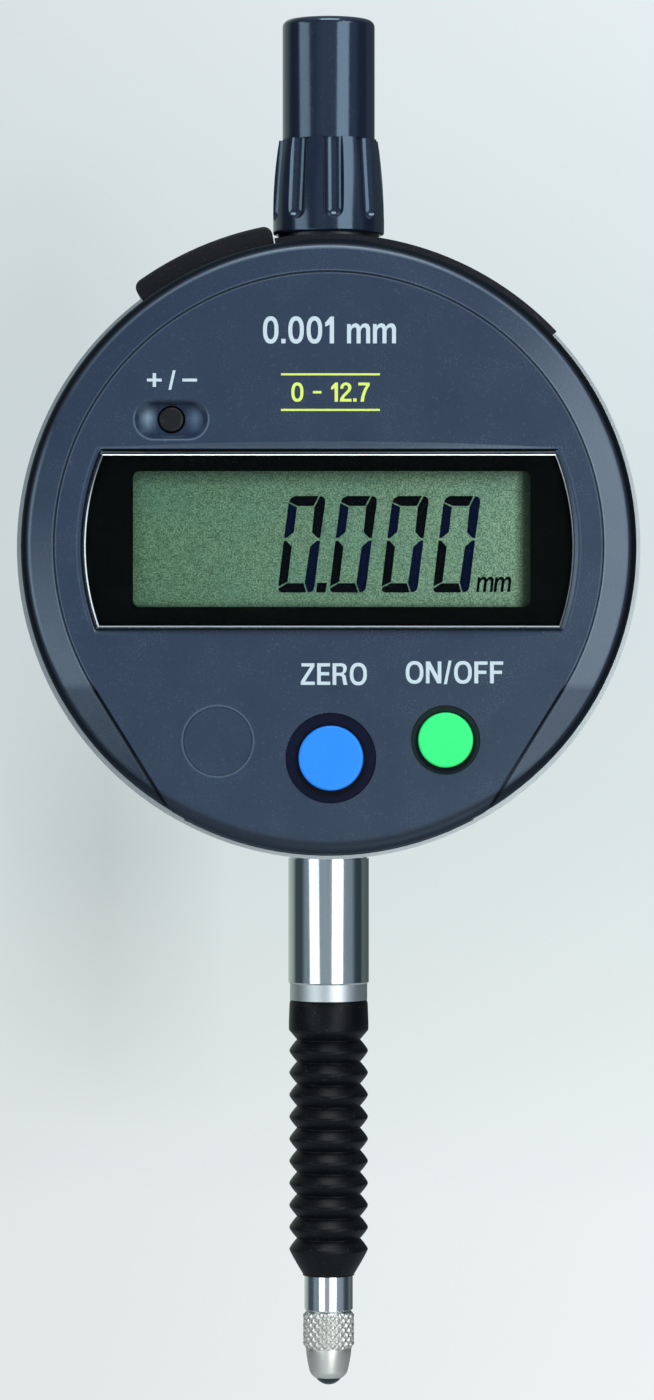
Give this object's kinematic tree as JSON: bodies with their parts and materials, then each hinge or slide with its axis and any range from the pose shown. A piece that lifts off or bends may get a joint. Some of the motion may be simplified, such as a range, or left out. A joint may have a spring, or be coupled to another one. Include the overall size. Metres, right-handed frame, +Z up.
{
  "type": "digital indicator",
  "caption": "Plunger indicator with a round digital display face, push buttons, a clamping stem, a capped spindle and a rubber bellows above its contact point.",
  "frame": {"origin": "on the spindle's axis, at the middle of the stem's clamping length", "axes": "+Z up along the spindle, away from the contact point; the display faces -Y and +X is to its right"},
  "size_m": [0.0612, 0.0354, 0.1355],
  "materials": {
    "dark_alloy": "fine matte paint",
    "steel": "turned",
    "seal_rubber": "matte",
    "battery_steel": "satin",
    "contact_brass": "bright",
    "black_plastic": "fine matte",
    "frame_alloy": "fine satin",
    "board_green": "solder mask",
    "cover_rubber": "matte",
    "ball_steel": "polished",
    "point_steel": "knurled, ground taper",
    "strip_rubber": "matte",
    "can_steel": "satin",
    "cover_plastic": "fine grained matte",
    "rail_brass": "machined",
    "display_glass": "grey-green display",
    "neck_black": "blackened",
    "bush_steel": "matte ground",
    "power_green": "satin",
    "power_ring": "satin",
    "dome_steel": "pressed",
    "chip_black": "moulded",
    "spring_steel": "wire",
    "saddle_plastic": "fine grained matte",
    "scale_glass": "coated",
    "sign_black": "satin",
    "spindle_steel": "ground and polished",
    "boot_rubber": "satin",
    "cap_plastic": "gloss",
    "stem_steel": "polished",
    "lens_clear": "clear",
    "zero_blue": "satin",
    "zero_ring": "satin"
  },
  "bodies": {
    "body": {"back_cover": "dark_alloy", "back_cover_screws": "steel", "back_gasket": "seal_rubber", "battery": "battery_steel", "battery_contact_negative": "contact_brass", "battery_contact_positive": "contact_brass", "battery_cover": "black_plastic", "battery_cover_seal": "seal_rubber", "battery_holder": "black_plastic", "board_screws": "steel", "body_frame": "frame_alloy", "circuit_board": "board_green", "contact_strip_lower": "strip_rubber", "contact_strip_upper": "strip_rubber", "crystal_can": "can_steel", "front_cover": "cover_plastic", "front_gasket": "seal_rubber", "guide_rail": "rail_brass", "lcd_frame": "black_plastic", "lcd_panel": "display_glass", "lower_bush": "bush_steel", "output_socket": "black_plastic", "power_button_ring": "power_ring", "power_dome": "dome_steel", "processor_chip": "chip_black", "return_spring": "spring_steel", "rim_saddle": "saddle_plastic", "sign_dome": "dome_steel", "socket_pins": "contact_brass", "spindle_boot": "boot_rubber", "spindle_cap": "cap_plastic", "stem": "stem_steel", "upper_bush": "neck_black", "window_lens": "lens_clear", "zero_button_ring": "zero_ring", "zero_dome": "dome_steel"},
    "plunger": {"spindle": "spindle_steel", "contact_point": "point_steel", "contact_ball": "ball_steel", "scale_carrier": "rail_brass", "carrier_screw": "steel", "scale_strip": "scale_glass", "guide_pin": "steel"},
    "zero_button": {"zero_button": "zero_blue"},
    "power_button": {"power_button": "power_green"},
    "sign_button": {"sign_button": "sign_black"},
    "connector_cover": {"connector_cover": "cover_rubber"}
  },
  "joints": [
    {"name": "spindle_travel", "type": "slide", "parent": "body", "child": "plunger", "axis": [0, 0, 1], "range_m": [0, 0.0127], "stiffness_N_per_m": 40, "springref_m": -0.03, "deforming": ["spindle_boot", "return_spring"]},
    {"name": "zero_press", "type": "slide", "parent": "body", "child": "zero_button", "axis": [0, 1, 0], "range_m": [0, 0.0005], "stiffness_N_per_m": 2000, "springref_m": -0.0005},
    {"name": "power_press", "type": "slide", "parent": "body", "child": "power_button", "axis": [0, 1, 0], "range_m": [0, 0.0005], "stiffness_N_per_m": 2000, "springref_m": -0.0005},
    {"name": "sign_press", "type": "slide", "parent": "body", "child": "sign_button", "axis": [0, 1, 0], "range_m": [0, 0.0005], "stiffness_N_per_m": 2000, "springref_m": -0.0005},
    {"name": "connector_cover_pull", "type": "slide", "parent": "body", "child": "connector_cover", "axis": [-0.3987, 0, 0.9171], "range_m": [0, 0.006]}
  ]
}
